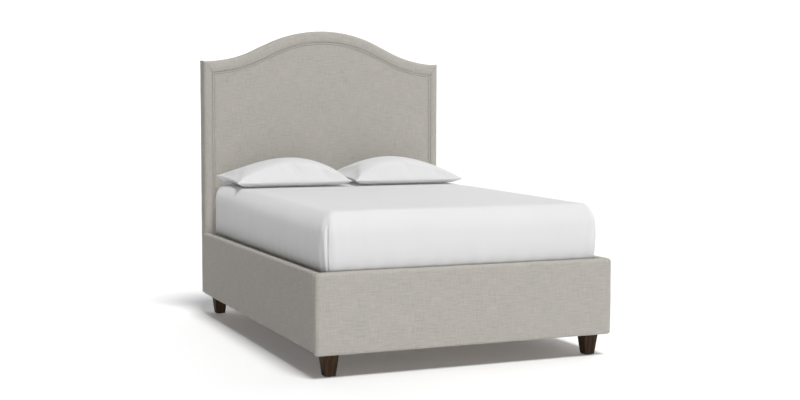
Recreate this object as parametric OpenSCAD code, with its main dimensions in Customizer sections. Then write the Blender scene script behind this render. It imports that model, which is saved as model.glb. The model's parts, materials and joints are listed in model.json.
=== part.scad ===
// Upholstered full-size bed with a camelback headboard and a deep box surround.
// The origin is on the floor under the middle of the bed. +X is to the right seen from the foot end,
// +Y points to the headboard and +Z up. All sizes are in millimetres.

/* [Overall] */
// Width across the side rails
bed_w = 1484; // [1470:1:1500]
// Length from the footboard's face to the headboard's back
bed_l = 2055; // [2050:1:2100]
// Height of the side rails' and footboard's top edge
rail_top = 466; // [440:1:500]
// Height of the side rails' lower edge
rail_bottom = 113; // [108:1:130]
// Height of the footboard's lower edge
footboard_bottom = 103; // [96:1:108]
// Thickness of a padded side rail or footboard
panel_t = 34; // [30:1:40]

/* [Headboard] */
// Width of the headboard
head_w = 1460; // [1450:1:1464]
// Height of the crown
head_h = 1630; // [1560:1:1700]
// Thickness of the headboard
head_t = 90; // [85:1:110]
// Height of the crown above the flat shoulders
crown_rise = 186; // [160:1:200]
// Radius of the crown
crown_r = 770; // [740:1:800]
// Radius of the sweep from a shoulder to the crown
sweep_r = 710; // [680:1:730]
// Steepest angle of the curve
slope = 25.4; // [24:0.1:26]
// Width of the padded border along the top
border_w = 65; // [55:1:75]
// Width of the padded border along the sides
side_border_w = 48; // [40:1:65]
// Width of the welt in the seam between border and centre panel
welt_w = 13; // [8:1:16]

/* [Mattress and bedding] */
// Width of the mattress
mattress_w = 1370; // [1350:1:1372]
// Length of the mattress
mattress_l = 1905; // [1890:1:1910]
// Thickness of the mattress
mattress_t = 298; // [250:1:320]
// Height of the mattress's top face
mattress_top = 743; // [735:1:760]
// Gap between the footboard's inside and the mattress
foot_gap = 16; // [14:1:20]
// Size of a pillow along X
pillow_w = 680; // [640:1:684]
// Size of a pillow along Y
pillow_d = 470; // [440:1:480]
// Thickness of a pillow
pillow_t = 150; // [110:1:160]

/* [Feet] */
// Height of a foot with its glide
foot_h = 111; // [106:1:113]
// Side of a foot's square top
foot_top = 76; // [60:1:80]
// Side of a foot's square bottom
foot_base = 54; // [44:1:60]
// Distance from the rail's face to a foot's bottom edge
foot_side_inset = 58; // [54:1:66]
// Distance from the footboard's face to a front foot's bottom edge
foot_front_inset = 50; // [48:1:80]
// Distance from the headboard's back to the middle of a rear foot
foot_rear_inset = 118; // [112:1:130]

/* [Slats and centre support] */
// Number of slats
slat_count = 5; // [5:1:5]
// Width of a slat
slat_w = 90; // [70:1:110]
// Thickness of a slat
slat_t = 20; // [16:1:22]
// Height of the slats' top face
slat_top = 245; // [240:1:250]
// Side of a centre leg
leg_side = 45; // [40:1:50]
// Distance of each centre leg from the middle of the bed
leg_y = 350; // [300:1:400]

/* [Hidden] */
$fn = 96;
SIDES = [-1, 1];
// How far a cutting shape runs past the face it cuts
lap = 1;

// Surround
half_w = bed_w / 2;
half_l = bed_l / 2;
skin_t = 8;
board_t = panel_t - 2 * skin_t;
rail_in = half_w - panel_t;
foot_in = -half_l + panel_t;
head_front = half_l - head_t;
rail_l = head_front - foot_in;
crest_r = 14;
corner_r = 20;
end_gap = 1;

// Headboard layers, from the back forwards
shoulder_h = head_h - crown_rise;
cover_t = 2;
back_cover_y = half_l - cover_t;
post_t = 45;
post_w = 90;
ply_t = 12;
frame_y = back_cover_y - post_t;
ply_y = frame_y - ply_t;
band_t = 10;
panel_set_back = 3;
welt_stand = 2;
head_edge_r = 20;
side_gain = border_w - side_border_w;
frame_bottom = rail_bottom + 4;
middle_rail_z = 760;
arch_rail_z = shoulder_h - post_w - band_t;
turn_share = (crown_r + sweep_r) * (1 - cos(slope));
straight_l = (crown_rise - turn_share) / sin(slope);
sweep_x = (crown_r + sweep_r) * sin(slope) + straight_l * cos(slope);
crown_z = head_h - crown_r;
sweep_z = shoulder_h + sweep_r;

// Hooks that hang the side rails on the headboard
hook_t = 3;
hook_x = half_w - skin_t - board_t;
hook_heights = [200, 330];
hook_h = 34;
hook_drop = 12;
hook_tooth = 8;
hook_tail = 60;
slot_play = 1;
tooth_y = frame_y + hook_t + slot_play;
hook_end = tooth_y + hook_tooth;
plate_w = 20;
plate_h = 220;
plate_z = 170;

// Slats, beam and legs
cleat_w = 30;
cleat_h = 35;
cleat_end_gap = 20;
slat_z = slat_top - slat_t;
cleat_z = slat_z - cleat_h;
slat_play = 4;
slat_first_y = -880;
slat_step = 425;
beam_w = 45;
beam_h = 70;
beam_z = slat_z - beam_h;
hanger_t = 3;
hanger_reach = 42;
hanger_wing = 26;
hanger_play = 0.5;
disc_h = 8;
hub_h = 2;
leg_z = disc_h + hub_h;
stem_r = 5;
stem_l = 40;
stem_play = 0.05;
bore_spare = 4;
disc_r = 20;
hub_r = 9;

// Corner blocks, feet and fasteners
block_x = 112;
block_y = 150;
block_h = 62;
block_z = foot_h;
block_gap = 5;
foot_x = half_w - foot_side_inset - foot_base / 2;
foot_front_y = -half_l + foot_front_inset + foot_base / 2;
foot_rear_y = half_l - foot_rear_inset;
glide_t = 3;
glide_r = 14;
bolt_r = 4;
bolt_play = 0.1;
bolt_bite = 12;
bolt_head_h = 5;
bolt_head_r = 7;
hanger_bolt_z = 84;
hanger_bolt_l = 80;
bracket_leg = 60;
bracket_t = 4;
bracket_z = 262;
bracket_h = 150;
bracket_bolt_z = [295, 380];
bracket_bolt_in = 40;
screw_r = 2.5;
screw_l = 42;
screw_head_r = 5;
screw_head_h = 3;

// Mattress, foundation and pillows
sheet_t = 2;
ticking_t = 3;
layer_gap = 0.5;
cover_in = sheet_t + layer_gap;
core_in = cover_in + ticking_t;
mattress_y0 = foot_in + foot_gap;
mattress_y1 = mattress_y0 + mattress_l;
mattress_z = mattress_top - mattress_t;
mattress_corner_r = 60;
mattress_edge_r = 55;
tuck_w = 90;
coil_h = 165;
coil_r = 52;
foam_h = 92;
foam_wall = 38;
foam_corner_r = 20;
base_inset = 5;
base_z = slat_top;
base_h = mattress_z - slat_top;
base_corner_r = 40;
base_cover_t = 2;
base_w = mattress_w - 2 * base_inset;
base_l = mattress_l - 2 * base_inset;
base_core_w = base_w - 2 * base_cover_t - 1;
base_core_l = base_l - 2 * base_cover_t - 1;
timber_h = 44;
timber_w = 60;
base_coil_r = 40;
base_coil_edge = 110;
pad_h = 16;
pillow_z = mattress_top;
pillow_x = 348;
pillow_back_gap = 18;
pillow_y = head_front - pillow_back_gap - pillow_d / 2;
case_t = 3;
pillow_point = 40;
pillow_sink = 10;
pillow_shoulder = 30;
mouth_h = 9;
mouth_inset = 30;

// Colours
linen = [0.70, 0.68, 0.64];
linen_dark = [0.50, 0.49, 0.46];
walnut = [0.16, 0.10, 0.07];
pine = [0.80, 0.66, 0.46];
plywood = [0.74, 0.62, 0.45];
steel = [0.55, 0.56, 0.58];
cotton = [0.93, 0.93, 0.94];
foam = [0.93, 0.90, 0.80];
felt = [0.25, 0.25, 0.26];

// ---- Shared shapes ----

// A box from its low corner to its high corner.
module block(low, high) {
    translate(low) cube(high - low);
}

// Turns an outline drawn in X and Z into a plate from y0 to y1.
module upright(y0, y1) {
    translate([0, y1, 0]) rotate([90, 0, 0]) linear_extrude(y1 - y0) children();
}

// Turns an outline drawn in Y and Z into a plate from x0 to x1.
module sideways(x0, x1) {
    translate([x0, 0, 0]) rotate([90, 0, 90]) linear_extrude(x1 - x0) children();
}

// Headboard outline, drawn `inset` inside the outer edge, from height z0 up. Outlines on the face
// keep their sides further out, because the border is narrower there than along the top.
module head_outline(inset, z0) {
    r1 = crown_r - inset;
    r2 = sweep_r + inset;
    half = head_w / 2 - inset + ((inset > band_t && inset < post_w) ? side_gain : 0);
    shoulder = shoulder_h - inset;
    x1 = r1 * sin(slope);
    z1 = crown_z + r1 * cos(slope);
    x2 = sweep_x - r2 * sin(slope);
    z2 = sweep_z - r2 * cos(slope);
    intersection() {
        translate([-half, z0]) square([2 * half, head_h]);
        difference() {
            polygon([
                [-head_w, z0], [head_w, z0], [head_w, shoulder], [sweep_x, shoulder], [x2, z2], [x1, z1],
                [-x1, z1], [-x2, z2], [-sweep_x, shoulder], [-head_w, shoulder]
            ]);
            for (s = SIDES) translate([s * sweep_x, sweep_z]) circle(r = r2);
        }
    }
    intersection() {
        translate([0, crown_z]) circle(r = r1);
        translate([-x1, z1 - lap]) square([2 * x1, crown_r]);
    }
}

// Outline of a band between two insets of the headboard's outline, open at the bottom.
module head_band(outer, inner) {
    difference() {
        head_outline(outer, rail_bottom);
        head_outline(inner, rail_bottom - lap);
    }
}

// The part of the headboard's face left or right of the mitre at its shoulder corner.
module mitre_side(s) {
    half = head_w / 2;
    over = 10;
    seam_x = half - side_border_w;
    seam_z = sweep_z - sqrt(pow(sweep_r + border_w, 2) - pow(sweep_x - seam_x, 2));
    polygon([
        [s * (half + over), rail_bottom - lap], [s * seam_x, rail_bottom - lap], [s * seam_x, seam_z],
        [s * (half + over), shoulder_h + over * (shoulder_h - seam_z) / side_border_w]
    ]);
}

// Cross-section of a padded panel: full height, with rounded top and bottom edges.
module padded_section(t, z0, z1, r) {
    translate([r, z0]) square([t - 2 * r, z1 - z0]);
    translate([0, z0 + r]) square([t, z1 - z0 - 2 * r]);
    for (x = [r, t - r], z = [z0 + r, z1 - r]) translate([x, z]) circle(r = r);
}

// Rounded rectangle centred on the origin.
module round_rect(w, l, r) {
    square([w - 2 * r, l], center = true);
    square([w, l - 2 * r], center = true);
    for (sx = SIDES, sy = SIDES) translate([sx * (w / 2 - r), sy * (l / 2 - r)]) circle(r = r);
}

// Half section of a soft block: square at the bottom, rounded at the top.
module soft_section(w, h, r) {
    translate([-w / 2, 0]) square([w, h - r]);
    translate([-w / 2 + r, 0]) square([w - 2 * r, h]);
    for (s = SIDES) translate([s * (w / 2 - r), h - r]) circle(r = r);
}

// Plan outline whose front corners are rounded; y_back is its straight rear edge.
module front_rounded(w, depth, y_back, r) {
    translate([0, y_back]) rotate(180) soft_section(w, depth, r);
}

// Soft block standing on z = 0 with rounded upright corners and rounded top edges.
module soft_block(w, l, h, corner_r, edge_r) {
    x = w / 2 - corner_r;
    y = l / 2 - corner_r;
    upright(-y, y) soft_section(w, h, edge_r);
    sideways(-x, x) soft_section(l, h, edge_r);
    for (turn = [0 : 3])
        translate([(turn == 0 || turn == 3) ? x : -x, turn < 2 ? y : -y, 0]) rotate(90 * turn)
            rotate_extrude(angle = 90) intersection() {
                soft_section(2 * corner_r, h, edge_r);
                square([corner_r, h]);
            }
}

// Lens: the overlap of two equal discs, w wide and t thick at the middle.
module lens(w, t) {
    r = (w * w / 4 + t * t / 4) / t;
    intersection_for(s = SIDES) translate([0, s * (r - t / 2)]) circle(r = r);
}

// Pillow lying on z = 0, `inset` inside the outer face. Its underside is pressed flat.
module pillow_form(inset) {
    w = pillow_w - 2 * inset;
    d = pillow_d - 2 * inset;
    t = pillow_t - 2 * inset;
    intersection() {
        translate([0, 0, inset + (t - pillow_sink) / 2]) intersection() {
            upright(-d / 2, d / 2) lens(w + pillow_point, t + pillow_sink);
            sideways(-w / 2, w / 2) lens(d + pillow_point, t + pillow_sink + pillow_shoulder);
        }
        translate([-w / 2, -d / 2, inset]) cube([w, d, 2 * pillow_t]);
    }
}

// ---- Positions used by fasteners and the parts they go through ----

module at_feet() {
    for (s = SIDES, y = [foot_front_y, foot_rear_y]) translate([s * foot_x, y, 0]) children();
}

// Hanger bolts up through each foot into its block; play widens them into holes.
module foot_bolt_shapes(play) {
    at_feet() translate([0, 0, hanger_bolt_z - play])
        cylinder(r = bolt_r + play, h = hanger_bolt_l + 2 * play);
}

// Bolts through the front corner brackets into the rail boards and the footboard.
module bracket_bolt_shapes(play) {
    shaft_l = bracket_t + skin_t + bolt_bite;
    for (s = SIDES, z = bracket_bolt_z) {
        translate([s * (rail_in - bracket_t), foot_in + bracket_bolt_in, z]) rotate([0, s * 90, 0])
            cylinder(r = bolt_r + play, h = shaft_l + play);
        translate([s * (rail_in - bracket_bolt_in), foot_in + bracket_t, z]) rotate([90, 0, 0])
            cylinder(r = bolt_r + play, h = shaft_l + play);
    }
}

function slat_y(i) = slat_first_y + i * slat_step;

// A screw with its head's face at z = 0, pointing down.
module screw_shape(play) {
    translate([0, 0, -screw_l]) cylinder(r = screw_r + play, h = screw_l);
    translate([0, 0, -screw_head_h]) cylinder(r = screw_head_r + play, h = screw_head_h);
}

// Screws down through the slats into the cleats, and sideways through the cleats into the rails.
module screw_shapes(play) {
    for (s = SIDES) {
        for (i = [0 : slat_count - 1])
            translate([s * (rail_in - cleat_w / 2), slat_y(i), slat_top]) screw_shape(play);
        for (i = [0 : slat_count - 2])
            translate([s * (rail_in - cleat_w), slat_y(i) + slat_step / 2, cleat_z + cleat_h / 2])
                rotate([0, -s * 90, 0]) screw_shape(play);
    }
}

// Room for the hooks on the rails' rear ends, high enough to lift them out.
module hook_slots(lip) {
    for (s = SIDES, z = hook_heights) {
        x0 = min(s * hook_x, s * (hook_x - hook_t));
        block([x0 - slot_play, head_front - hook_tail - slot_play, z + lip],
              [x0 + hook_t + slot_play, hook_end + slot_play, z + hook_h + hook_drop + slot_play]);
    }
}

// ---- Headboard ----

module headboard_post(s) {
    x_out = head_w / 2 - band_t;
    color(pine) difference() {
        block([min(s * x_out, s * (x_out - post_w)), frame_y, frame_bottom],
              [max(s * x_out, s * (x_out - post_w)), back_cover_y, arch_rail_z]);
        hook_slots(-slot_play);
        plate_shapes();
    }
}

module headboard_post_left() {
    headboard_post(-1);
}

module headboard_post_right() {
    headboard_post(1);
}

module headboard_cross_rail(z) {
    x_in = head_w / 2 - band_t - post_w;
    color(pine) block([-x_in, frame_y, z], [x_in, back_cover_y, z + post_w]);
}

module headboard_lower_rail() {
    headboard_cross_rail(frame_bottom);
}

module headboard_middle_rail() {
    headboard_cross_rail(middle_rail_z);
}

module headboard_arch_rail() {
    color(pine) upright(frame_y, back_cover_y) difference() {
        head_outline(band_t, arch_rail_z);
        head_outline(band_t + post_w, arch_rail_z - lap);
    }
}

module headboard_board() {
    color(plywood) difference() {
        upright(ply_y, frame_y) head_outline(band_t, frame_bottom);
        hook_slots(-slot_play);
    }
}

module headboard_panel() {
    color(linen) upright(head_front + panel_set_back, ply_y)
        head_outline(border_w + welt_w, rail_bottom);
}

// Border pad with the boxing band that wraps the headboard's edge behind it.
module headboard_border_solid() {
    intersection() {
        union() {
            upright(head_front, ply_y) head_band(0, border_w);
            upright(ply_y, back_cover_y) head_band(0, band_t);
        }
        linear_extrude(head_h + lap) front_rounded(head_w, head_t, half_l, head_edge_r);
    }
}

module headboard_border_side(s) {
    color(linen) difference() {
        intersection() {
            headboard_border_solid();
            upright(head_front - lap, half_l + lap) mitre_side(s);
        }
        hook_slots(-slot_play);
    }
}

module headboard_border_left() {
    headboard_border_side(-1);
}

module headboard_border_right() {
    headboard_border_side(1);
}

module headboard_border_top() {
    color(linen) difference() {
        headboard_border_solid();
        upright(head_front - lap, half_l + lap) for (s = SIDES) mitre_side(s);
    }
}

module headboard_welt() {
    color(linen_dark) upright(head_front - welt_stand, ply_y)
        head_band(border_w, border_w + welt_w);
}

module headboard_back_cover() {
    color(felt) upright(back_cover_y, half_l) head_outline(0, rail_bottom);
}

// Slotted plates let into the posts' front faces.
module plate_shapes() {
    for (s = SIDES) {
        x_mid = s * (hook_x - hook_t / 2);
        block([x_mid - plate_w / 2, frame_y, plate_z],
              [x_mid + plate_w / 2, frame_y + hook_t, plate_z + plate_h]);
    }
}

module headboard_hook_plates() {
    color(steel) intersection() {
        difference() {
            plate_shapes();
            hook_slots(hook_drop);
        }
        upright(frame_y, frame_y + hook_t) head_outline(band_t, rail_bottom);
    }
}

// ---- Side rails and footboard ----

module side_rail_board(s) {
    x_out = half_w - skin_t;
    color(plywood) difference() {
        block([min(s * x_out, s * (x_out - board_t)), foot_in + end_gap, rail_bottom + skin_t],
              [max(s * x_out, s * (x_out - board_t)), head_front - end_gap, rail_top - crest_r]);
        bracket_bolt_shapes(bolt_play);
        screw_shapes(bolt_play);
    }
}

module side_rail_board_left() {
    side_rail_board(-1);
}

module side_rail_board_right() {
    side_rail_board(1);
}

// Padding and fabric round the rail board, open at both ends, with slots for the hooks.
module side_rail_cover(s) {
    board_x = half_w - skin_t - board_t;
    color(linen) difference() {
        translate([s < 0 ? -half_w : rail_in, 0, 0]) rotate([90, 0, 0]) translate([0, 0, -head_front])
            linear_extrude(rail_l) padded_section(panel_t, rail_bottom, rail_top, crest_r);
        block([min(s * board_x, s * (board_x + board_t)), foot_in - lap, rail_bottom + skin_t],
              [max(s * board_x, s * (board_x + board_t)), head_front + lap, rail_top - crest_r]);
        bracket_bolt_shapes(bolt_play);
        screw_shapes(bolt_play);
        hook_slots(-slot_play);
    }
}

module side_rail_cover_left() {
    side_rail_cover(-1);
}

module side_rail_cover_right() {
    side_rail_cover(1);
}

// Flat steel hooks whose teeth drop behind the slotted plates.
module side_rail_hooks() {
    color(steel) for (s = SIDES, z = hook_heights) {
        x0 = min(s * hook_x, s * (hook_x - hook_t));
        block([x0, head_front - hook_tail, z + hook_drop], [x0 + hook_t, hook_end, z + hook_h]);
        block([x0, tooth_y, z], [x0 + hook_t, hook_end, z + hook_h]);
    }
}

module footboard_board() {
    x_out = half_w - skin_t;
    color(plywood) difference() {
        block([-x_out, -half_l + skin_t, footboard_bottom + skin_t],
              [x_out, foot_in - skin_t, rail_top - crest_r]);
        bracket_bolt_shapes(bolt_play);
    }
}

module footboard_cover() {
    color(linen) difference() {
        intersection() {
            translate([-half_w, 0, 0]) rotate([90, 0, 90]) linear_extrude(bed_w)
                translate([-half_l, 0]) padded_section(panel_t, footboard_bottom, rail_top, crest_r);
            upright(-half_l, foot_in) translate([0, (rail_top + footboard_bottom) / 2])
                round_rect(bed_w, rail_top - footboard_bottom, crest_r);
            linear_extrude(rail_top + lap) front_rounded(bed_w, panel_t, foot_in, corner_r);
        }
        block([-half_w + skin_t, -half_l + skin_t, footboard_bottom + skin_t],
              [half_w - skin_t, foot_in - skin_t, rail_top - crest_r]);
        bracket_bolt_shapes(bolt_play);
    }
}

module corner_brackets() {
    color(steel) difference() {
        for (s = SIDES) {
            x_leg = s * (rail_in - bracket_leg);
            x_face = s * (rail_in - bracket_t);
            block([min(x_leg, s * rail_in), foot_in, bracket_z],
                  [max(x_leg, s * rail_in), foot_in + bracket_t, bracket_z + bracket_h]);
            block([min(x_face, s * rail_in), foot_in, bracket_z],
                  [max(x_face, s * rail_in), foot_in + bracket_leg, bracket_z + bracket_h]);
        }
        bracket_bolt_shapes(bolt_play);
    }
}

module bracket_bolts() {
    color(steel) {
        bracket_bolt_shapes(0);
        for (s = SIDES, z = bracket_bolt_z) {
            translate([s * (rail_in - bracket_t), foot_in + bracket_bolt_in, z])
                rotate([0, -s * 90, 0]) cylinder(r = bolt_head_r, h = bolt_head_h);
            translate([s * (rail_in - bracket_bolt_in), foot_in + bracket_t, z])
                rotate([-90, 0, 0]) cylinder(r = bolt_head_r, h = bolt_head_h);
        }
    }
}

// ---- Corner blocks and feet ----

module corner_block(sx, front) {
    y0 = front ? foot_in : head_front - block_gap - block_y;
    color(pine) difference() {
        block([min(sx * rail_in, sx * (rail_in - block_x)), y0, block_z],
              [max(sx * rail_in, sx * (rail_in - block_x)), y0 + block_y, block_z + block_h]);
        foot_bolt_shapes(bolt_play);
    }
}

module corner_block_front_left() {
    corner_block(-1, true);
}

module corner_block_front_right() {
    corner_block(1, true);
}

module corner_block_rear_left() {
    corner_block(-1, false);
}

module corner_block_rear_right() {
    corner_block(1, false);
}

// Square foot that tapers evenly on all four sides.
module foot(sx, y) {
    module taper() {
        polygon([
            [-foot_base / 2, glide_t], [foot_base / 2, glide_t],
            [foot_top / 2, foot_h], [-foot_top / 2, foot_h]
        ]);
    }
    color(walnut) difference() {
        translate([sx * foot_x, y, 0]) intersection() {
            upright(-foot_top, foot_top) taper();
            sideways(-foot_top, foot_top) taper();
        }
        foot_bolt_shapes(bolt_play);
    }
}

module foot_front_left() {
    foot(-1, foot_front_y);
}

module foot_front_right() {
    foot(1, foot_front_y);
}

module foot_rear_left() {
    foot(-1, foot_rear_y);
}

module foot_rear_right() {
    foot(1, foot_rear_y);
}

module foot_bolts() {
    color(steel) foot_bolt_shapes(0);
}

module foot_glides() {
    color(felt) at_feet() cylinder(r = glide_r, h = glide_t);
}

// ---- Slats and centre support ----

module slat_cleat(s) {
    color(pine) difference() {
        block([min(s * rail_in, s * (rail_in - cleat_w)), foot_in + bracket_leg, cleat_z],
              [max(s * rail_in, s * (rail_in - cleat_w)), head_front - cleat_end_gap, slat_z]);
        screw_shapes(bolt_play);
    }
}

module slat_cleat_left() {
    slat_cleat(-1);
}

module slat_cleat_right() {
    slat_cleat(1);
}

module slat(i) {
    color(pine) difference() {
        block([-rail_in + slat_play, slat_y(i) - slat_w / 2, slat_z],
              [rail_in - slat_play, slat_y(i) + slat_w / 2, slat_top]);
        screw_shapes(bolt_play);
    }
}

module wood_screws() {
    color(steel) screw_shapes(0);
}

module centre_beam() {
    color(pine) block([-beam_w / 2, foot_in + hanger_t, beam_z],
                      [beam_w / 2, head_front - hanger_t, slat_z]);
}

// U-shaped steel cradle that carries one end of the beam; y_wall is the face it is screwed to.
module beam_hanger(y_wall, inward) {
    x_cheek = beam_w / 2 + hanger_play;
    y_end = y_wall + inward * hanger_reach;
    color(steel) {
        block([-x_cheek - hanger_wing, min(y_wall, y_wall + inward * hanger_t), beam_z - hanger_t],
              [x_cheek + hanger_wing, max(y_wall, y_wall + inward * hanger_t), slat_z]);
        block([-x_cheek - hanger_t, min(y_wall, y_end), beam_z - hanger_t],
              [x_cheek + hanger_t, max(y_wall, y_end), beam_z]);
        for (s = SIDES)
            block([min(s * x_cheek, s * (x_cheek + hanger_t)), min(y_wall, y_end), beam_z - hanger_t],
                  [max(s * x_cheek, s * (x_cheek + hanger_t)), max(y_wall, y_end), slat_z]);
    }
}

module beam_hanger_head() {
    beam_hanger(head_front, -1);
}

module beam_hanger_foot() {
    beam_hanger(foot_in, 1);
}

module centre_leg(y) {
    color(pine) difference() {
        block([-leg_side / 2, y - leg_side / 2, leg_z], [leg_side / 2, y + leg_side / 2, beam_z]);
        translate([0, y, leg_z - lap]) cylinder(r = stem_r + stem_play, h = stem_l + bore_spare);
    }
}

module centre_leg_front() {
    centre_leg(-leg_y);
}

module centre_leg_rear() {
    centre_leg(leg_y);
}

// Screw-in glide: a wide disc, a hub that stops against the leg, and a stem in the leg's bore.
module leveller(y) {
    color(steel) translate([0, y, 0]) {
        cylinder(r = disc_r, h = disc_h);
        cylinder(r = hub_r, h = disc_h + hub_h);
        cylinder(r = stem_r, h = disc_h + hub_h + stem_l);
    }
}

module leveller_front() {
    leveller(-leg_y);
}

module leveller_rear() {
    leveller(leg_y);
}

// ---- Foundation ----

module at_mattress(z) {
    translate([0, (mattress_y0 + mattress_y1) / 2, z]) children();
}

module foundation_frame() {
    bays = 9;
    bay_l = (base_core_l - timber_w * (bays + 1)) / bays;
    bay_w = (base_core_w - 3 * timber_w) / 2;
    color(pine) at_mattress(base_z + base_cover_t) difference() {
        linear_extrude(timber_h) round_rect(base_core_w, base_core_l, base_corner_r);
        for (s = SIDES, i = [0 : bays - 1])
            translate([s * (timber_w + bay_w) / 2 - bay_w / 2,
                       -base_core_l / 2 + timber_w + i * (bay_l + timber_w), -lap])
                cube([bay_w, bay_l, timber_h + 2 * lap]);
    }
}

module foundation_coils() {
    rows = 11;
    columns = 8;
    wire_t = 1;
    spread_x = base_w - 2 * base_coil_edge;
    spread_y = base_l - 2 * base_coil_edge;
    height = base_h - 2 * base_cover_t - timber_h - pad_h;
    color(steel) at_mattress(base_z + base_cover_t + timber_h)
        for (i = [0 : columns - 1], j = [0 : rows - 1])
            translate([(i / (columns - 1) - 0.5) * spread_x, (j / (rows - 1) - 0.5) * spread_y, 0])
                difference() {
                    cylinder(r = base_coil_r, h = height);
                    translate([0, 0, -lap]) cylinder(r = base_coil_r - wire_t, h = height + 2 * lap);
                }
}

module foundation_pad() {
    color(felt) at_mattress(base_z + base_h - base_cover_t - pad_h) linear_extrude(pad_h)
        round_rect(base_core_w, base_core_l, base_corner_r);
}

module foundation_cover() {
    color(cotton) at_mattress(base_z + base_cover_t) difference() {
        linear_extrude(base_h - base_cover_t) round_rect(base_w, base_l, base_corner_r);
        translate([0, 0, -lap]) linear_extrude(base_h - 2 * base_cover_t + lap)
            round_rect(base_w - 2 * base_cover_t, base_l - 2 * base_cover_t, base_corner_r);
    }
}

module foundation_dust_cover() {
    color(felt) at_mattress(base_z) linear_extrude(base_cover_t) round_rect(base_w, base_l, base_corner_r);
}

// ---- Mattress ----

// The mattress's form, `inset` inside the fitted sheet's outer face on every side.
module mattress_form(inset) {
    at_mattress(mattress_z + inset)
        soft_block(mattress_w - 2 * inset, mattress_l - 2 * inset, mattress_t - 2 * inset,
                   mattress_corner_r - inset, mattress_edge_r - inset);
}

module fitted_sheet() {
    opening_w = mattress_w - 2 * tuck_w;
    opening_l = mattress_l - 2 * tuck_w;
    color(cotton) difference() {
        mattress_form(0);
        mattress_form(sheet_t);
        at_mattress(mattress_z - lap) linear_extrude(sheet_t + 2 * lap)
            round_rect(opening_w, opening_l, tuck_w);
    }
}

module mattress_cover() {
    floor_w = mattress_w - 2 * mattress_corner_r - 2 * core_in;
    floor_l = mattress_l - 2 * mattress_corner_r - 2 * core_in;
    color(cotton) difference() {
        mattress_form(cover_in);
        mattress_form(core_in);
        at_mattress(mattress_z) linear_extrude(core_in + lap)
            round_rect(floor_w, floor_l, mattress_corner_r);
    }
}

module mattress_coils() {
    rows = 15;
    columns = 11;
    wire_t = 0.6;
    spread_x = mattress_w - 2 * (mattress_corner_r + coil_r);
    spread_y = mattress_l - 2 * (mattress_corner_r + coil_r);
    color(steel) at_mattress(mattress_z + core_in)
        for (i = [0 : columns - 1], j = [0 : rows - 1])
            translate([(i / (columns - 1) - 0.5) * spread_x, (j / (rows - 1) - 0.5) * spread_y, 0])
                difference() {
                    cylinder(r = coil_r, h = coil_h);
                    translate([0, 0, -lap]) cylinder(r = coil_r - wire_t, h = coil_h + 2 * lap);
                }
}

// Foam tray over the coils: the comfort layer with side walls down to the cover's floor.
module mattress_foam() {
    core_w = mattress_w - 2 * (core_in + layer_gap + foam_wall);
    core_l = mattress_l - 2 * (core_in + layer_gap + foam_wall);
    color(foam) difference() {
        mattress_form(core_in + layer_gap);
        at_mattress(mattress_z) linear_extrude(mattress_t - core_in - foam_h)
            round_rect(core_w, core_l, foam_corner_r);
    }
}

// ---- Pillows ----

// Pillow case whose mouth is a slot in its outer end.
module pillow_case(s) {
    mouth_z = (pillow_t - pillow_sink) / 2;
    color(cotton) translate([s * pillow_x, pillow_y, pillow_z]) difference() {
        pillow_form(0);
        pillow_form(case_t);
        block([min(s * (pillow_w / 2 - mouth_inset), s * (pillow_w / 2 + lap)),
               mouth_inset - pillow_d / 2, mouth_z - mouth_h / 2],
              [max(s * (pillow_w / 2 - mouth_inset), s * (pillow_w / 2 + lap)),
               pillow_d / 2 - mouth_inset, mouth_z + mouth_h / 2]);
    }
}

module pillow_fill(s) {
    color(cotton) translate([s * pillow_x, pillow_y, pillow_z]) pillow_form(case_t + layer_gap);
}

module pillow_left_case() {
    pillow_case(-1);
}

module pillow_left_fill() {
    pillow_fill(-1);
}

module pillow_right_case() {
    pillow_case(1);
}

module pillow_right_fill() {
    pillow_fill(1);
}

// ---- Assembly ----

headboard_post_left();
headboard_post_right();
headboard_lower_rail();
headboard_middle_rail();
headboard_arch_rail();
headboard_board();
headboard_panel();
headboard_border_left();
headboard_border_top();
headboard_border_right();
headboard_welt();
headboard_back_cover();
headboard_hook_plates();
side_rail_board_left();
side_rail_board_right();
side_rail_cover_left();
side_rail_cover_right();
side_rail_hooks();
footboard_board();
footboard_cover();
corner_brackets();
bracket_bolts();
corner_block_front_left();
corner_block_front_right();
corner_block_rear_left();
corner_block_rear_right();
foot_front_left();
foot_front_right();
foot_rear_left();
foot_rear_right();
foot_bolts();
foot_glides();
slat_cleat_left();
slat_cleat_right();
slat(0);  // slat_1
slat(1);  // slat_2
slat(2);  // slat_3
slat(3);  // slat_4
slat(4);  // slat_5
wood_screws();
centre_beam();
beam_hanger_head();
beam_hanger_foot();
centre_leg_front();
centre_leg_rear();
leveller_front();
leveller_rear();
foundation_frame();
foundation_coils();
foundation_pad();
foundation_cover();
foundation_dust_cover();
mattress_coils();
mattress_foam();
mattress_cover();
fitted_sheet();
pillow_left_case();
pillow_left_fill();
pillow_right_case();
pillow_right_fill();
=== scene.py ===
import json
import math

import bmesh
import bpy
import numpy as np
from mathutils import Matrix, Vector, noise


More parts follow.
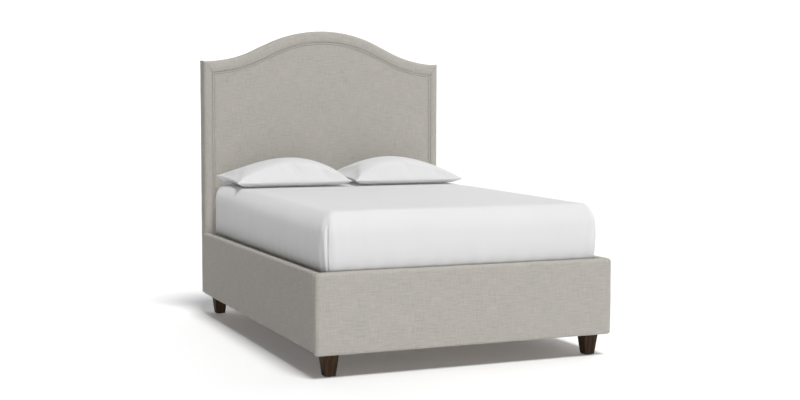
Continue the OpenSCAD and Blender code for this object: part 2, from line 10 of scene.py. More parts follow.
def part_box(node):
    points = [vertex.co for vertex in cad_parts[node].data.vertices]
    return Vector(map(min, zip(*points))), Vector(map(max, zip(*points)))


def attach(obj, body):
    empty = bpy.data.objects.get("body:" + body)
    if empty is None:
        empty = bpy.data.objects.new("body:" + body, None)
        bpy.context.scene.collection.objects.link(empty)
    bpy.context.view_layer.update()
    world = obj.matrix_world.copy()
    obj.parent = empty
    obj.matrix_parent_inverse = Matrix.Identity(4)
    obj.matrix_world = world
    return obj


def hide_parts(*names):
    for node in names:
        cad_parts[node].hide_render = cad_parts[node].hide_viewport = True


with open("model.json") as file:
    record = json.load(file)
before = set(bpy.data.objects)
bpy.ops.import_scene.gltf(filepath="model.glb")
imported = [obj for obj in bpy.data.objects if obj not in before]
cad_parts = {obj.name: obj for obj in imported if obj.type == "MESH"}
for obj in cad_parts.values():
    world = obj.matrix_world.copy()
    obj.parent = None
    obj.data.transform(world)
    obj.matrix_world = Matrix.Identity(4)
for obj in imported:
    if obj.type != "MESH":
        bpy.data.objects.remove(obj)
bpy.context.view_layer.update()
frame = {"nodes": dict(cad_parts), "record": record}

NODES = frame["nodes"]

# Headboard curve, as the CAD draws it, in metres
CROWN_R, SWEEP_R, RISE, SLOPE = 0.770, 0.710, 0.186, math.radians(25.4)
BORDER_W, SIDE_W, WELT_W = 0.065, 0.048, 0.013
STAPLE = 0.011
(_, HEAD_FRONT, _), (HEAD_HALF, HEAD_BACK, CROWN_TOP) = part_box("headboard_border_top")
HEAD_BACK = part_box("headboard_back_cover")[1][1]
HEAD_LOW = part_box("headboard_back_cover")[0][2]
SHOULDER = CROWN_TOP - RISE
CROWN_Z, SWEEP_Z = CROWN_TOP - CROWN_R, SHOULDER + SWEEP_R
TURN = CROWN_R + SWEEP_R
SWEEP_X = TURN * math.sin(SLOPE) + (RISE - TURN * (1 - math.cos(SLOPE))) / math.tan(SLOPE)


# ---------------------------------------------------------------- materials

class Graph:
    """Small helper that wires shader nodes."""

    def __init__(self, name):
        self.mat = bpy.data.materials.new(name)
        self.mat.use_nodes = True
        self.tree = self.mat.node_tree
        self.bsdf = self.tree.nodes["Principled BSDF"]
        self.coord = self.tree.nodes.new("ShaderNodeTexCoord")

    def node(self, kind, **values):
        n = self.tree.nodes.new(kind)
        for key, value in values.items():
            if hasattr(n, key):
                setattr(n, key, value)
            else:
                n.inputs[key.replace("_", " ")].default_value = value
        return n

    def link(self, a, b):
        self.tree.links.new(a, b)

    def math(self, op, a, b=None, c=None):
        n = self.tree.nodes.new("ShaderNodeMath")
        n.operation = op
        for i, v in enumerate((a, b, c)):
            if v is None:
                continue
            if isinstance(v, (int, float)):
                n.inputs[i].default_value = v
            else:
                self.link(v, n.inputs[i])
        return n.outputs[0]

    def split(self, vector):
        n = self.tree.nodes.new("ShaderNodeSeparateXYZ")
        self.link(vector, n.inputs[0])
        return n.outputs

    def mapped(self, vector, scale):
        n = self.tree.nodes.new("ShaderNodeMapping")
        n.inputs["Scale"].default_value = scale
        self.link(vector, n.inputs["Vector"])
        return n.outputs[0]

    def noise(self, vector, scale, detail=2.0, rough=0.5, stretch=None, distort=0.0):
        if stretch:
            vector = self.mapped(vector, stretch)
        n = self.node("ShaderNodeTexNoise", Scale=scale, Detail=detail, Roughness=rough, Distortion=distort)
        self.link(vector, n.inputs["Vector"])
        return n.outputs["Fac"]

    def ramp(self, value, *stops):
        n = self.tree.nodes.new("ShaderNodeValToRGB")
        while len(n.color_ramp.elements) < len(stops):
            n.color_ramp.elements.new(0.5)
        for e, (at, colour) in zip(n.color_ramp.elements, stops):
            e.position, e.color = at, (*colour, 1)
        self.link(value, n.inputs[0])
        return n.outputs[0]

    def mix(self, fac, a, b, mode="MIX"):
        n = self.tree.nodes.new("ShaderNodeMix")
        n.data_type, n.blend_type = "RGBA", mode
        for socket, v in ((n.inputs[0], fac), (n.inputs[6], a), (n.inputs[7], b)):
            if isinstance(v, (int, float)):
                socket.default_value = v
            elif isinstance(v, tuple):
                socket.default_value = (*v, 1)
            else:
                self.link(v, socket)
        return n.outputs[2]

    def bump(self, height, strength, distance, under=None):
        n = self.node("ShaderNodeBump", Strength=strength, Distance=distance)
        self.link(height, n.inputs["Height"])
        if under is not None:
            self.link(under, n.inputs["Normal"])
        return n.outputs[0]

    def finish(self, colour=None, rough=None, normal=None, **sockets):
        for value, socket in ((colour, "Base Color"), (rough, "Roughness"), (normal, "Normal")):
            if value is not None:
                self.link(value, self.bsdf.inputs[socket])
        for key, value in sockets.items():
            self.bsdf.inputs[key.replace("_", " ")].default_value = value
        return self.mat


def shade(colour, factor):
    """A lighter or darker version of a colour."""
    return tuple(min(1.0, c * factor) for c in colour)


def cloth(name, colour, pitch, slub=0.2, mottle=0.06, weave=0.5, sheen=0.25, uv=True):
    """Plain-woven cloth: threads over and under, uneven slubs both ways, and faint mottling. pitch is in metres."""
    g = Graph(name)
    place = g.coord.outputs["UV" if uv else "Object"]
    u, v, _ = g.split(place)
    wobble = g.math("MULTIPLY", g.math("SUBTRACT", g.noise(place, 90, 2), 0.5), 0.6 * pitch)
    turn = 2 * math.pi / pitch
    warp = g.math("SINE", g.math("MULTIPLY", g.math("ADD", u, wobble), turn))
    weft = g.math("SINE", g.math("MULTIPLY", g.math("ADD", v, wobble), turn))
    cross = g.math("MULTIPLY_ADD", g.math("MULTIPLY", warp, weft), 0.5, 0.5)
    along = g.noise(place, 1.0, 3, 0.6, (22, 0.42 / pitch, 1))
    down = g.noise(place, 1.0, 3, 0.6, (0.42 / pitch, 22, 1))
    long_along = g.noise(place, 1.0, 2, 0.6, (14, 240, 1))
    long_down = g.noise(place, 1.0, 2, 0.6, (240, 14, 1))
    slubs = g.math("ADD", g.math("MULTIPLY", g.math("ADD", along, down), 0.35),
                   g.math("MULTIPLY_ADD", long_along, 0.75, g.math("MULTIPLY", long_down, 0.55)))
    blotch = g.noise(place, 7.0, 3, 0.6)
    tone = g.math("ADD", g.math("MULTIPLY", g.math("SUBTRACT", slubs, 1.0), slub * 4.0),
                  g.math("MULTIPLY", g.math("SUBTRACT", blotch, 0.5), mottle * 3))
    tone = g.math("ADD", tone, g.math("MULTIPLY", g.math("SUBTRACT", cross, 0.5), 0.35 * weave))
    tone = g.math("MULTIPLY_ADD", tone, 1.0, 0.5)
    warm = (min(1, colour[0] * 1.03), colour[1], colour[2] * 0.96)
    base = g.ramp(tone, (0.0, shade(colour, 0.62)), (0.5, colour), (1.0, shade(warm, 1.22)))
    height = g.math("ADD", g.math("MULTIPLY", cross, 0.6), g.math("MULTIPLY", slubs, 0.6))
    normal = g.bump(height, weave, pitch * 0.45)
    normal = g.bump(blotch, 0.12, 0.004, normal)
    return g.finish(base, None, normal, Roughness=0.9, Sheen_Weight=sheen, Sheen_Roughness=0.45,
                    Specular_IOR_Level=0.2)


def percale(name, colour, crease, rough=0.78):
    """Fine smooth cotton with a tight weave and faint soft creases."""
    g = Graph(name)
    place = g.coord.outputs["Object"]
    x, y, z = g.split(place)
    thread_pitch = 0.0009
    turn = 2 * math.pi / thread_pitch
    threads = g.math("MULTIPLY", g.math("SINE", g.math("MULTIPLY", g.math("ADD", x, z), turn)),
                     g.math("SINE", g.math("MULTIPLY", g.math("ADD", y, z), turn)))
    soft = g.noise(place, 5.0, 3, 0.5, None, 0.4)
    line = g.noise(place, 1.0, 2, 0.4, (14, 3, 6), 0.6)
    tone = g.noise(place, 3.0, 2, 0.5)
    base = g.ramp(tone, (0.3, shade(colour, 0.975)), (0.7, colour))
    normal = g.bump(threads, 0.15, 0.0003)
    normal = g.bump(soft, crease, 0.006, normal)
    normal = g.bump(line, crease * 0.5, 0.004, normal)
    return g.finish(base, None, normal, Roughness=rough, Sheen_Weight=0.5, Sheen_Roughness=0.5,
                    Specular_IOR_Level=0.25)


def wood(name, light, dark, axis, scale=1.0, gloss=0.5, knots=True):
    """Sawn wood with long grain along one axis, growth bands, pores and a few knots."""
    g = Graph(name)
    place = g.coord.outputs["Object"]
    grain = [26.0, 26.0, 26.0]
    grain[axis] = 1.6
    fine = [240.0, 240.0, 240.0]
    fine[axis] = 5.0
    bands = g.node("ShaderNodeTexWave", Scale=0.9 * scale, Distortion=7.0, Detail=3.0, Detail_Scale=1.4)
    bands.wave_type, bands.bands_direction = "BANDS", "DIAGONAL"
    g.link(g.mapped(place, tuple(grain)), bands.inputs["Vector"])
    fibre = g.noise(place, 1.0, 4, 0.65, tuple(fine))
    broad = g.noise(place, 1.0, 3, 0.5, tuple(v * 0.12 for v in grain))
    mixed = g.math("ADD", g.math("MULTIPLY", bands.outputs["Fac"], 0.45), g.math("MULTIPLY", fibre, 0.55))
    mixed = g.math("ADD", mixed, g.math("MULTIPLY", g.math("SUBTRACT", broad, 0.5), 0.7))
    base = g.ramp(mixed, (0.2, dark), (0.55, tuple((a + b) / 2 for a, b in zip(light, dark))), (0.9, light))
    if knots:
        cell = g.node("ShaderNodeTexVoronoi", Scale=3.2)
        g.link(g.mapped(place, tuple(0.35 if i == axis else 1.0 for i in range(3))), cell.inputs["Vector"])
        knot = g.ramp(cell.outputs["Distance"], (0.03, (1, 1, 1)), (0.10, (0, 0, 0)))
        base = g.mix(g.math("MULTIPLY", knot, 0.7), base, shade(dark, 0.5))
    rough = g.math("MULTIPLY_ADD", fibre, 0.25, gloss)
    normal = g.bump(mixed, 0.25, 0.0008)
    return g.finish(base, rough, normal, Specular_IOR_Level=0.2)


def plywood(name):
    """Rotary-cut veneer faces with thin dark and pale plies."""
    g = Graph(name)
    place = g.coord.outputs["Object"]
    x, y, z = g.split(place)
    sheet = g.noise(place, 1.0, 4, 0.6, (9, 9, 60))
    ply = g.math("SINE", g.math("MULTIPLY", g.math("ADD", x, y), 2 * math.pi / 0.0042))
    tone = g.math("ADD", g.math("MULTIPLY", sheet, 0.8), g.math("MULTIPLY", ply, 0.06))
    base = g.ramp(tone, (0.25, (0.34, 0.22, 0.11)), (0.5, (0.56, 0.41, 0.23)), (0.75, (0.68, 0.52, 0.32)))
    return g.finish(base, None, g.bump(tone, 0.2, 0.0006), Roughness=0.72)


def metal(name, colour, rough=0.35, streak=(6, 6, 240), spangle=0.0):
    """Plated or drawn steel: fine streaks, cloudy plating and slight tarnish."""
    g = Graph(name)
    place = g.coord.outputs["Object"]
    lines = g.noise(place, 1.0, 3, 0.6, streak)
    cloud = g.noise(place, 28.0, 3, 0.6)
    if spangle:
        cell = g.node("ShaderNodeTexVoronoi", Scale=160.0)
        g.link(place, cell.inputs["Vector"])
        cloud = g.math("ADD", g.math("MULTIPLY", cloud, 0.6), g.math("MULTIPLY", cell.outputs["Distance"], spangle))
    base = g.ramp(cloud, (0.3, shade(colour, 0.72)), (0.6, colour), (0.85, shade(colour, 1.15)))
    roughness = g.math("MULTIPLY_ADD", lines, 0.28, rough - 0.1)
    return g.finish(base, roughness, g.bump(lines, 0.12, 0.0003), Metallic=1.0)


def spun(name, colour, fuzz=1.0):
    """Spun-bonded or needled cloth: random fibres, small bond points."""
    g = Graph(name)
    place = g.coord.outputs["Object"]
    fibre = g.noise(place, 420.0, 4, 0.7, None, 1.2)
    cell = g.node("ShaderNodeTexVoronoi", Scale=260.0)
    g.link(place, cell.inputs["Vector"])
    bond = g.ramp(cell.outputs["Distance"], (0.1, (0.4, 0.4, 0.4)), (0.4, (1, 1, 1)))
    broad = g.noise(place, 6.0, 2)
    tone = g.math("ADD", g.math("MULTIPLY", fibre, 0.7), g.math("MULTIPLY", broad, 0.3))
    base = g.mix(1.0, g.ramp(tone, (0.3, shade(colour, 0.7)), (0.7, shade(colour, 1.4))), bond, "MULTIPLY")
    return g.finish(base, None, g.bump(fibre, 0.5 * fuzz, 0.0006), Roughness=0.95, Sheen_Weight=0.3,
                    Sheen_Roughness=0.5, Specular_IOR_Level=0.15)


def foam(name, colour):
    """Open-cell foam: small pores over a pale body."""
    g = Graph(name)
    place = g.coord.outputs["Object"]
    cell = g.node("ShaderNodeTexVoronoi", Scale=520.0)
    g.link(place, cell.inputs["Vector"])
    base = g.ramp(cell.outputs["Distance"], (0.1, shade(colour, 0.6)), (0.45, colour))
    return g.finish(base, None, g.bump(cell.outputs["Distance"], 0.6, 0.0008), Roughness=0.95,
                    Subsurface_Weight=0.05)


def glide_plastic(name):
    """Black moulded plastic with a fine texture and scuffs."""
    g = Graph(name)
    place = g.coord.outputs["Object"]
    speck = g.noise(place, 900.0, 3)
    scuff = g.noise(place, 60.0, 4, 0.7, (1, 6, 1))
    base = g.ramp(scuff, (0.3, (0.02, 0.02, 0.021)), (0.7, (0.06, 0.06, 0.062)))
    return g.finish(base, g.math("MULTIPLY_ADD", scuff, 0.4, 0.35), g.bump(speck, 0.15, 0.0002))


LINEN = (0.415, 0.396, 0.363)
M = {
    "linen": cloth("linen", LINEN, 0.0016, slub=0.24, mottle=0.05, weave=0.6, sheen=0.06),
    # The welt cord's linen is the panel linen darkened to 0.94: painted shade for the dark groove line along the welt
    "welt_linen": cloth("welt_linen", shade(LINEN, 0.94), 0.0016, slub=0.25, mottle=0.05, weave=0.5),
    "seam_thread": cloth("seam_thread", shade(LINEN, 0.75), 0.0006, slub=0.1, weave=0.8),
    "sheet_cotton": percale("sheet_cotton", (0.685, 0.685, 0.69), 0.12),
    "case_cotton": percale("case_cotton", (0.665, 0.665, 0.67), 0.22),
    "hem_thread": cloth("hem_thread", (0.80, 0.80, 0.80), 0.0005, slub=0.05, weave=0.8),
    "ticking": cloth("ticking", (0.74, 0.74, 0.72), 0.0012, slub=0.10, mottle=0.03, weave=0.5, uv=False),
    "fibre_fill": percale("fibre_fill", (0.82, 0.82, 0.81), 0.5, 0.9),
    "backing_cloth": spun("backing_cloth", (0.022, 0.022, 0.023)),
    "felt": spun("felt", (0.24, 0.24, 0.25), 2.0),
    "foam": foam("foam", (0.82, 0.76, 0.58)),
    "dark_wood": wood("dark_wood", (0.058, 0.027, 0.009), (0.018, 0.008, 0.003), 2, 1.2, 0.5, False),
    "pine_x": wood("pine_x", (0.70, 0.50, 0.28), (0.42, 0.25, 0.11), 0),
    "pine_y": wood("pine_y", (0.68, 0.49, 0.28), (0.42, 0.25, 0.11), 1),
    "pine_z": wood("pine_z", (0.70, 0.50, 0.28), (0.40, 0.24, 0.11), 2),
    "plywood": plywood("plywood"),
    "plated_steel": metal("plated_steel", (0.56, 0.57, 0.59), 0.38, (8, 8, 120), 0.5),
    "fastener_steel": metal("fastener_steel", (0.60, 0.59, 0.56), 0.30, (200, 200, 30)),
    "leveller_steel": metal("leveller_steel", (0.50, 0.51, 0.52), 0.32, (60, 60, 400)),
    "coil_steel": metal("coil_steel", (0.38, 0.39, 0.41), 0.42, (20, 20, 900)),
    "glide": glide_plastic("glide"),
}


def node_material(name):
    """The material a carried-over CAD node wears."""
    slot = next(s["material_slot"] for s in frame["record"]["subparts"] if s["node"] == name)
    if slot != "pine":
        return slot
    if name.startswith("slat_") and "cleat" not in name or "rail" in name or name.startswith("corner_block"):
        return "pine_x"
    return "pine_z" if "post" in name or "leg" in name else "pine_y"


for name, obj in NODES.items():
    obj.data.materials.clear()
    obj.data.materials.append(M[node_material(name)])


# ---------------------------------------------------------------- mesh helpers

def build(name, verts, faces, material, body, uv=None):
    """A mesh piece that rides on a body. uv is one pair per vertex."""
    mesh = bpy.data.meshes.new(name)
    mesh.from_pydata([tuple(map(float, v)) for v in verts], [], [tuple(map(int, f)) for f in faces])
    mesh.update()
    if uv is not None:
        layer = mesh.uv_layers.new(name="cloth")
        corner = np.empty(len(mesh.loops), np.int32)
        mesh.loops.foreach_get("vertex_index", corner)
        layer.data.foreach_set("uv", np.asarray(uv, np.float32)[corner].ravel())
    mesh.polygons.foreach_set("use_smooth", [True] * len(mesh.polygons))
    mesh.materials.append(M[material])
    obj = bpy.data.objects.new(name, mesh)
    bpy.context.scene.collection.objects.link(obj)
    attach(obj, body)
    return obj


def grid_faces(rows, cols, close_rows=False, close_cols=False, start=0, flip=False):
    faces = []
    for i in range(rows if close_rows else rows - 1):
        for j in range(cols if close_cols else cols - 1):
            a = start + i * cols + j
            b = start + i * cols + (j + 1) % cols
            c = start + ((i + 1) % rows) * cols + (j + 1) % cols
            d = start + ((i + 1) % rows) * cols + j
            faces.append((a, d, c, b) if flip else (a, b, c, d))
    return faces


def loft(name, grid, material, body, close_rows=False, close_cols=False, flip=False, upright=False):
    """A surface through grid[station][profile] points, with cloth coordinates along both lengths."""
    grid = np.asarray(grid, float)
    rows, cols, _ = grid.shape
    u = np.r_[0, np.cumsum(np.linalg.norm(np.diff(grid[:, cols // 2], axis=0), axis=1))]
    v = np.r_[0, np.cumsum(np.linalg.norm(np.diff(grid[rows // 2], axis=0), axis=1))]
    uv = np.stack(np.broadcast_arrays(v[None, :], u[:, None]), -1).reshape(-1, 2)
    if upright:
        uv = grid.reshape(-1, 3)[:, (0, 2)]
    return build(name, grid.reshape(-1, 3), grid_faces(rows, cols, close_rows, close_cols, 0, flip),
                 material, body, uv)


def wave(x, y, z, scale, seed=0.0):
    """Smooth noise from -1 to 1."""
    return noise.noise(Vector((x * scale + seed, y * scale - seed, z * scale + 2 * seed)))


def axis_lines(lo, hi, r_lo, r_hi, step, turns):
    """Grid lines along one axis: close in the two rounded ends, wider between them."""
    inner = max(1, int(math.ceil((hi - lo - r_lo - r_hi) / step)))
    middle = [lo + r_lo + (hi - lo - r_lo - r_hi) * k / inner for k in range(inner + 1)]
    # Even spacing over each rounding, so that its arc is evenly cut
    head = [lo + r_lo * k / turns for k in range(turns)] if r_lo > 0 else []
    tail = [hi - r_hi * k / turns for k in range(turns)][::-1] if r_hi > 0 else []
    return head + middle + tail


def soft_box(name, lo, hi, radii, material, body, step=0.02, turns=6, shape=None, skip=()):
    """A box with its own radius at each end of each axis, and cloth coordinates on each face.
    shape(p, n) moves a point; skip names faces such as '-z' that are left out."""
    lo, hi = np.array(lo, float), np.array(hi, float)
    r = np.array(radii, float)
    lines = [axis_lines(lo[a], hi[a], r[a][0], r[a][1], step, turns) for a in range(3)]
    verts, index, faces, uvs = [], {}, [], []
    for axis in range(3):
        a, b = [k for k in range(3) if k != axis]
        for end in (0, 1):
            if ("-+"[end] + "xyz"[axis]) in skip:
                continue
            grid = []
            for s in lines[a]:
                for t in lines[b]:
                    p = np.empty(3)
                    p[axis], p[a], p[b] = (lo, hi)[end][axis], s, t
                    key = tuple(np.round(p, 7))
                    if key not in index:
                        index[key] = len(verts)
                        c = np.minimum(np.maximum(p, lo + r[:, 0]), hi - r[:, 1])
                        d = p - c
                        radius = np.where(d < 0, r[:, 0], r[:, 1])
                        unit = np.divide(d, radius, out=np.zeros(3), where=radius > 1e-9)
                        size = np.linalg.norm(unit)
                        if size > 1e-9:
                            unit = unit / size
                        else:
                            unit[axis] = (-1, 1)[end]
                        q = c + unit * radius
                        normal = unit / np.maximum(radius, 1e-6)
                        normal = normal / max(np.linalg.norm(normal), 1e-9)
                        verts.append(np.array(shape(q, normal)) if shape else q)
                    grid.append(index[key])
            na, nb = len(lines[a]), len(lines[b])
            out = (end == 1) != (axis == 1)
            for i in range(na - 1):
                for j in range(nb - 1):
                    quad = [grid[i * nb + j], grid[(i + 1) * nb + j],
                            grid[(i + 1) * nb + j + 1], grid[i * nb + j + 1]]
                    at = [(lines[a][i], lines[b][j]), (lines[a][i + 1], lines[b][j]),
                          (lines[a][i + 1], lines[b][j + 1]), (lines[a][i], lines[b][j + 1])]
                    if not out:
                        quad, at = quad[::-1], at[::-1]
                    faces.append(quad)
                    uvs.extend(at)
    obj = build(name, verts, faces, material, body)
    layer = obj.data.uv_layers.new(name="cloth")
    layer.data.foreach_set("uv", np.asarray(uvs, np.float32).ravel())
    return obj


def tube(name, path, radius, material, body, sides=8, closed=False, flatten=1.0):
    """A round or flattened cord along a path, each point with its outward direction."""
    points = np.array([p for p, _ in path], float)
    outs = np.array([o for _, o in path], float)
    ahead = np.roll(points, -1, 0) - np.roll(points, 1, 0)
    if not closed:
        ahead[0], ahead[-1] = points[1] - points[0], points[-1] - points[-2]
    ahead /= np.linalg.norm(ahead, axis=1)[:, None]
    outs -= (outs * ahead).sum(1)[:, None] * ahead
    outs /= np.linalg.norm(outs, axis=1)[:, None]
    across = np.cross(ahead, outs)
    grid = []
    for p, o, c in zip(points, outs, across):
        grid.append([p + radius * (math.cos(t) * o * flatten + math.sin(t) * c)
                     for t in (2 * math.pi * k / sides for k in range(sides))])
    return loft(name, grid, material, body, closed, True)


def stitches(name, line, outward, body, material="seam_thread", length=0.0042, gap=0.0026, r=0.00055):
    """A row of short raised stitches along a line of points."""
    line = np.array(line, float)
    cut = np.r_[0, np.cumsum(np.linalg.norm(np.diff(line, axis=0), axis=1))]
    outward = np.array(outward, float)
    if outward.ndim == 1:
        outward = np.repeat(outward[None], len(line), 0)
    verts, faces = [], []
    pos = gap
    while pos + length < cut[-1]:
        ends = [np.array([np.interp(s, cut, line[:, k]) for k in range(3)]) for s in (pos, pos + length)]
        out = np.array([np.interp(pos, cut, outward[:, k]) for k in range(3)])
        out /= np.linalg.norm(out)
        ahead = (ends[1] - ends[0]) / length
        side = np.cross(ahead, out)
        base = len(verts)
        for share, lift, thick in ((0, -0.4, 0.5), (0.2, 0.5, 1.0), (0.5, 0.9, 1.1), (0.8, 0.5, 1.0), (1, -0.4, 0.5)):
            centre = ends[0] + (ends[1] - ends[0]) * share + out * r * lift
            for k in range(6):
                t = math.pi / 3 * k
                verts.append(centre + r * thick * (math.cos(t) * side + math.sin(t) * out))
        faces += grid_faces(5, 6, False, True, base)
        pos += length + gap
    return build(name, verts, faces, material, body)


# ---------------------------------------------------------------- headboard

def top_z(x, inset=0.0):
    """Height of the headboard's curve at x, drawn `inset` inside the outer edge."""
    x = abs(x)
    r1, r2 = CROWN_R - inset, SWEEP_R + inset
    x1, x2 = r1 * math.sin(SLOPE), SWEEP_X - r2 * math.sin(SLOPE)
    if x <= x1:
        return CROWN_Z + math.sqrt(r1 * r1 - x * x)
    if x >= SWEEP_X:
        return SHOULDER - inset
    if x >= x2:
        return SWEEP_Z - math.sqrt(r2 * r2 - (SWEEP_X - x) ** 2)
    z1, z2 = CROWN_Z + r1 * math.cos(SLOPE), SWEEP_Z - r2 * math.cos(SLOPE)
    return z1 + (z2 - z1) * (x - x1) / (x2 - x1)


def side_x(inset):
    """Half width at one inset: the border is narrower along the sides than along the top."""
    roll, face = 0.021, 0.060
    squeeze = (BORDER_W - SIDE_W) * min(1.0, max(0.0, (inset - roll) / (face - roll)))
    return HEAD_HALF - inset + squeeze


def top_stations():
    """Stations along the top from the left corner to the right: each turns an inset into a point."""
    safe, reach = 0.63, []
    span = HEAD_HALF - safe
    near = [0.0, 0.002, 0.004, 0.007, 0.011, 0.016, 0.024, 0.036, 0.05, 0.066, 0.084, 0.1]

    def corner(side, t):
        def point(inset):
            slope = (top_z(safe + 1e-4) - top_z(safe - 1e-4)) / 2e-4
            size = math.hypot(1, slope)
            x_safe = safe + inset * slope / size
            x = side_x(inset) * (1 - t) + x_safe * t
            return side * x, top_z(x, inset)
        return point

    def inner(x0):
        def point(inset):
            slope = (top_z(x0 + 1e-4) - top_z(x0 - 1e-4)) / 2e-4
            size = math.hypot(1, slope)
            return x0 + inset * slope / size, top_z(x0) - inset / size
        return point

    ends = [(d / span, d) for d in near if d < span - 0.004]
    reach += [(corner(-1, t), d) for t, d in ends]
    count = 126
    for k in range(count + 1):
        x0 = -safe + 2 * safe * k / count
        reach.append((inner(x0), HEAD_HALF - abs(x0)))
    reach += [(corner(1, t), d) for t, d in reversed(ends)]
    return reach


def side_stations(side):
    """Stations up one side from the bottom to the shoulder corner."""
    def point_at(t):
        def point(inset):
            x = side_x(inset)
            z = HEAD_LOW + 0.002 + (top_z(x, inset) - HEAD_LOW - 0.002) * t
            return side * x, z
        return point
    length = SHOULDER - HEAD_LOW
    far = [0.0, 0.002, 0.004, 0.007, 0.011, 0.016, 0.024, 0.036, 0.052, 0.07]
    count = 84
    steps = sorted({round(1 - d / length, 6) for d in far}
                   | {round((1 - 0.09 / length) * k / count, 6) for k in range(count + 1)})
    return [(point_at(t), (1 - t) * length) for t in steps]


def border_profile():
    """(inset, y, normal inset, normal y) from the seam beside the welt, over the front, to the back edge."""
    out = []
    for k in range(6):
        t = math.pi / 2 * k / 5
        out.append((BORDER_W - 0.0042 + 0.0045 * math.cos(t), HEAD_FRONT + 0.006 - 0.006 * math.sin(t),
                    math.cos(t), -math.sin(t)))
    for k in range(1, 6):
        t = k / 6
        out.append((0.0608 - 0.0398 * t, HEAD_FRONT - 0.0022 * math.sin(math.pi * t), 0, -1))
    r = 0.021
    for k in range(9):
        t = math.pi / 2 * k / 8
        out.append((r - r * math.sin(t), HEAD_FRONT + r - r * math.cos(t), -math.sin(t), -math.cos(t)))
    for k in range(1, 7):
        y = HEAD_FRONT + r + (HEAD_BACK - 0.005 - HEAD_FRONT - r) * k / 6
        out.append((-0.0008 * math.sin(math.pi * k / 6), y, -1, 0))
    for k in range(1, 4):
        t = math.pi / 2 * k / 3
        out.append((0.004 - 0.004 * math.cos(t), HEAD_BACK - 0.005 + 0.0042 * math.sin(t), -math.cos(t), math.sin(t)))
    out.append((0.03, HEAD_BACK - 0.0008, 0, 1))
    return out


def border_piece(name, stations, node):
    """One piece of the padded border. It dips at its mitre seams."""
    profile = border_profile()
    grid = []
    for point, corner in stations:
        row = []
        for inset, y, ni, ny in profile:
            x, z = point(inset)
            dip = -0.0026 * math.exp(-(corner / 0.005) ** 2)
            soft = 0.0007 * wave(x, y, z, 9, 3) + 0.0004 * wave(x, y, z, 32, 8)
            pull = 0.0007 * wave(x, 0, z, 70, 5) * math.exp(-((inset - 0.062) / 0.012) ** 2)
            move = dip + soft + pull
            x, z = point(inset - ni * move)
            row.append((x, y + ny * move, z))
        grid.append(row)
    piece = loft(name, grid, "linen", "bed_frame", flip=not name.endswith("right"))
    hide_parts(node)


TOP, LEFT, RIGHT = top_stations(), side_stations(-1), side_stations(1)
border_piece("headboard_border_top_pad", TOP, "headboard_border_top")
border_piece("headboard_border_left_pad", LEFT, "headboard_border_left")
border_piece("headboard_border_pad_right", RIGHT, "headboard_border_right")


def full_path(inset, y):
    """Points and outward directions at one inset, up the left side, over the top and down the right."""
    path = []
    for stations, order in ((LEFT, 1), (TOP, 1), (RIGHT, -1)):
        for point, _ in stations[::order]:
            x, z = point(inset)
            if not path or math.hypot(x - path[-1][0][0], z - path[-1][0][2]) > 0.0008:
                path.append(((x, y, z), (0, -1, 0)))
    return path


# The cord wears the darkened welt linen, painted shade standing in for the shadow in its groove
welt = tube("headboard_welt_cord", full_path(BORDER_W + WELT_W / 2, HEAD_FRONT + 0.0042), 0.0064,
            "welt_linen", "bed_frame", sides=16, flatten=0.55)
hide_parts("headboard_welt")
for side, inset in (("outer", BORDER_W - 0.0075), ("inner", BORDER_W + WELT_W + 0.0075)):
    row = [p for p, _ in full_path(inset, HEAD_FRONT + (-0.0002 if side == "outer" else 0.0006))]
    stitches(f"headboard_topstitch_{side}", row, (0, -1, 0), "bed_frame", length=0.005, gap=0.003, r=0.0005)


def panel_pad():
    """The crowned centre panel inside the welt."""
    inset = BORDER_W + WELT_W - 0.0005
    half, low = side_x(inset), HEAD_LOW + 0.004
    edge = [0.0, 0.0012, 0.003, 0.0055, 0.0085, 0.012, 0.017, 0.024]
    xs = sorted({round(-half + d, 5) for d in edge} | {round(half - d, 5) for d in edge}
                | {round(-half + 0.03 + (2 * half - 0.06) * k / 100, 5) for k in range(101)})
    grid = []
    for x in xs:
        top = top_z(x, inset)
        slope = abs(top_z(abs(x) + 1e-4, inset) - top_z(abs(x) - 1e-4, inset)) / 2e-4
        tilt = 1 / math.hypot(1, slope)
        zs = [low + (top - low - 0.03) * k / 90 for k in range(91)] + [top - d for d in reversed(edge)]
        row = []
        for z in zs:
            d = min(half - abs(x), (top - z) * tilt, (z - low) + 0.004)
            roll = 0.0038 * (1 - math.sqrt(max(0.0, 1 - (1 - min(d / 0.005, 1)) ** 2)))
            wide = (max(0.0, 1 - (x / half) ** 2) * max(0.0, min(1, (top - z) / 0.5))
                    * max(0.0, min(1, (z - low) / 0.5)))
            y = HEAD_FRONT + 0.0012 + roll - 0.006 * wide ** 0.6
            y -= 0.0010 * wave(x, 0, z, 5, 11) + 0.0004 * wave(x, 0, z, 26, 4)
            y -= 0.0006 * wave(x, 0, z, 75, 2) * math.exp(-(d / 0.02) ** 2)
            row.append((x, y, z))
        grid.append(row)
    piece = loft("headboard_panel_pad", grid, "linen", "bed_frame", flip=True, upright=True)
    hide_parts("headboard_panel")


panel_pad()


